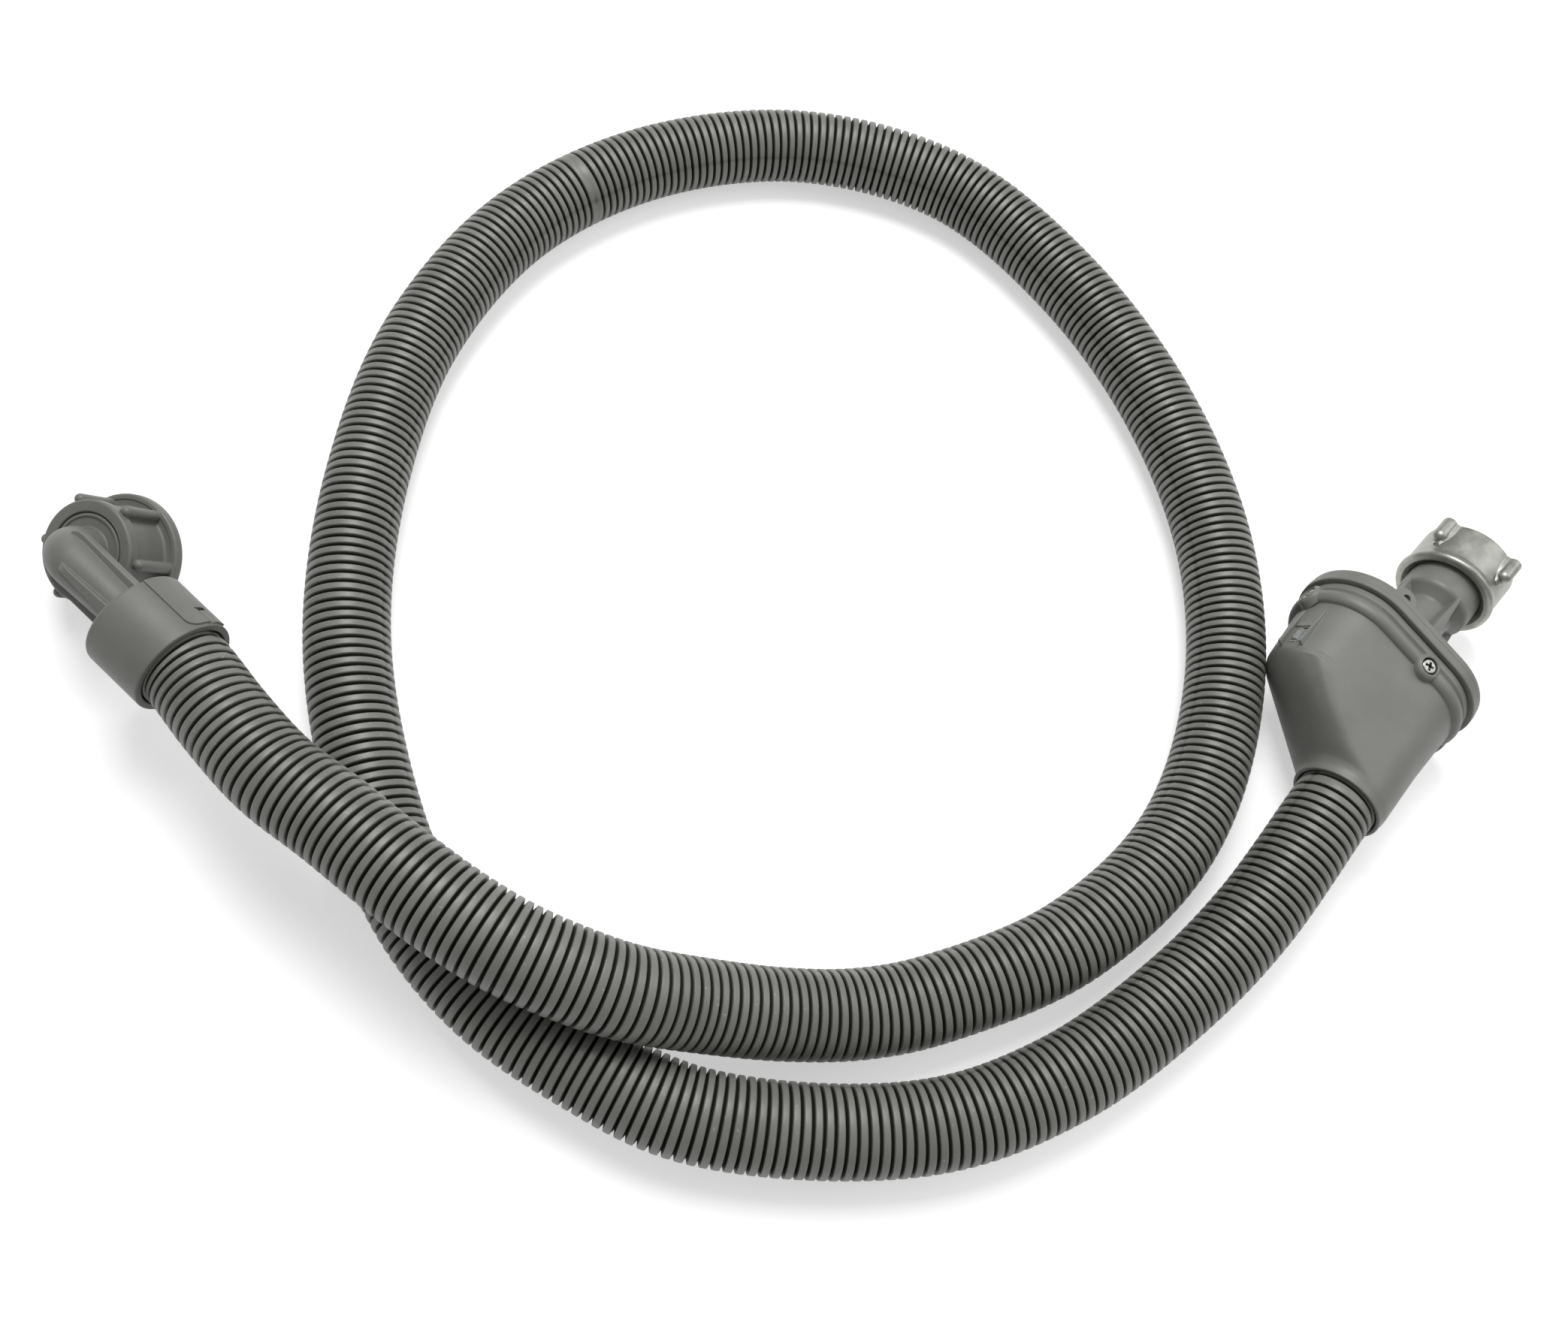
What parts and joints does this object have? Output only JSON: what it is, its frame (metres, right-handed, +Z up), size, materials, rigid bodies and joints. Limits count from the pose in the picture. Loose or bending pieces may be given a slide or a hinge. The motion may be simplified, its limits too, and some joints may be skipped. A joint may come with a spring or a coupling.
{
  "type": "safety inlet hose",
  "caption": "Corrugated water inlet hose lying in a loop, with a bent plastic union at one end and a water-stop valve with a metal union nut at the other.",
  "frame": {"origin": "bottom centre of the two end fittings, on the surface that the hose lies on", "axes": "+X from the appliance end to the tap end, +Y towards the far side of the hose's loop, +Z up"},
  "size_m": [0.4788, 0.3859, 0.0534],
  "materials": {
    "grey_plastic": "satin moulded grey plastic",
    "hose_grey": "corrugated grey plastic, satin",
    "cast_metal": "die-cast, satin with fine scratches",
    "steel": "bright plated steel",
    "black_rubber": "black rubber",
    "white_plastic": "natural white plastic",
    "red_plastic": "red plastic",
    "clear_plastic": "clear plastic window",
    "inner_tube": "reinforced rubber tube",
    "swelling_pad": "pressed dry fibre"
  },
  "bodies": {
    "hose": {"elbow_body": "grey_plastic", "appliance_seal_washer": "black_rubber", "hose_collar": "grey_plastic", "inner_tube_appliance_end": "inner_tube", "ferrule_appliance_end": "steel", "valve_housing": "grey_plastic", "cover_screw_1": "steel", "cover_screw_2": "steel", "cover_screw_3": "steel", "cover_screw_4": "steel", "sight_window": "clear_plastic", "valve_cover": "grey_plastic", "cover_gasket": "black_rubber", "nut_retaining_clip": "steel", "inlet_strainer": "white_plastic", "tap_seal_washer": "black_rubber", "valve_block": "white_plastic", "chamber_cap": "white_plastic", "swelling_pad": "swelling_pad", "pad_cup": "white_plastic", "inner_tube_valve_end": "inner_tube", "ferrule_valve_end": "steel", "outer_hose": "hose_grey"},
    "tap_nut": {"tap_nut": "cast_metal"},
    "appliance_nut": {"appliance_nut": "grey_plastic"},
    "stop_plunger": {"closing_plunger": "white_plastic", "plunger_seal": "black_rubber", "indicator_arm": "red_plastic"}
  },
  "joints": [
    {"name": "tap_nut_spin", "type": "hinge", "parent": "hose", "child": "tap_nut", "pos_m": [0.22142, 0.03937, 0.0242], "axis": [0.6884, 0.7254, 0], "continuous": true},
    {"name": "appliance_nut_spin", "type": "hinge", "parent": "hose", "child": "appliance_nut", "pos_m": [-0.2161, 0.0192, 0.00996], "axis": [-0.3725, -0.3952, 0.8397], "continuous": true},
    {"name": "plunger_slide", "type": "slide", "parent": "hose", "child": "stop_plunger", "axis": [0.6884, 0.7254, 0], "range_m": [0, 0.0026]}
  ]
}
